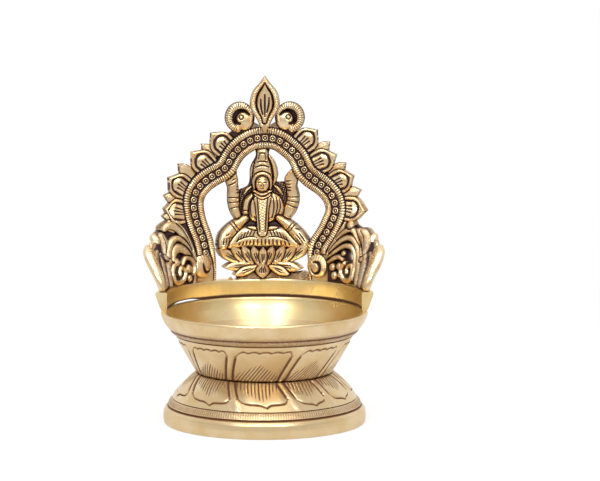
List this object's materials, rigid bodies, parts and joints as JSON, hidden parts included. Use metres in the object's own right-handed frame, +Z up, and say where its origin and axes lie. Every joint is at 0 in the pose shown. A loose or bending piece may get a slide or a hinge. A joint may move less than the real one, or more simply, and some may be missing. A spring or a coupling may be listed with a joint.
{
  "type": "butter lamp",
  "caption": "Brass butter lamp: an engraved bowl on a spreading foot, with a pierced arch, crest and seated goddess standing on the rear of the rim.",
  "frame": {"origin": "centre of the foot ring's underside, on the floor", "axes": "+Z up, -Y towards the open front of the bowl, +X to the right seen from the front"},
  "size_m": [0.0908, 0.084, 0.1285],
  "materials": {
    "polished_brass": "polished",
    "patinated_brass": "polished, dark in its recesses",
    "braze": "rough",
    "fastener_steel": "zinc plated"
  },
  "bodies": {
    "root": {"foot": "polished_brass", "bowl": "polished_brass", "waist_stud": "fastener_steel", "stud_washer": "fastener_steel", "stud_nut": "fastener_steel", "back_band": "polished_brass", "arch_frame": "patinated_brass", "outer_moulding": "patinated_brass", "inner_moulding": "patinated_brass", "pearl_row": "patinated_brass", "crest_left": "patinated_brass", "crest_right": "patinated_brass", "finial_bud": "patinated_brass", "finial_scroll_left": "patinated_brass", "finial_scroll_right": "patinated_brass", "wing_left": "patinated_brass", "wing_right": "patinated_brass", "wing_volutes_left": "patinated_brass", "wing_volutes_right": "patinated_brass", "wing_bead_left": "polished_brass", "wing_bead_right": "polished_brass", "goddess_figure": "patinated_brass", "lotus_seat": "patinated_brass", "lotus_base": "patinated_brass", "braze_tacks": "braze"}
  },
  "joints": []
}
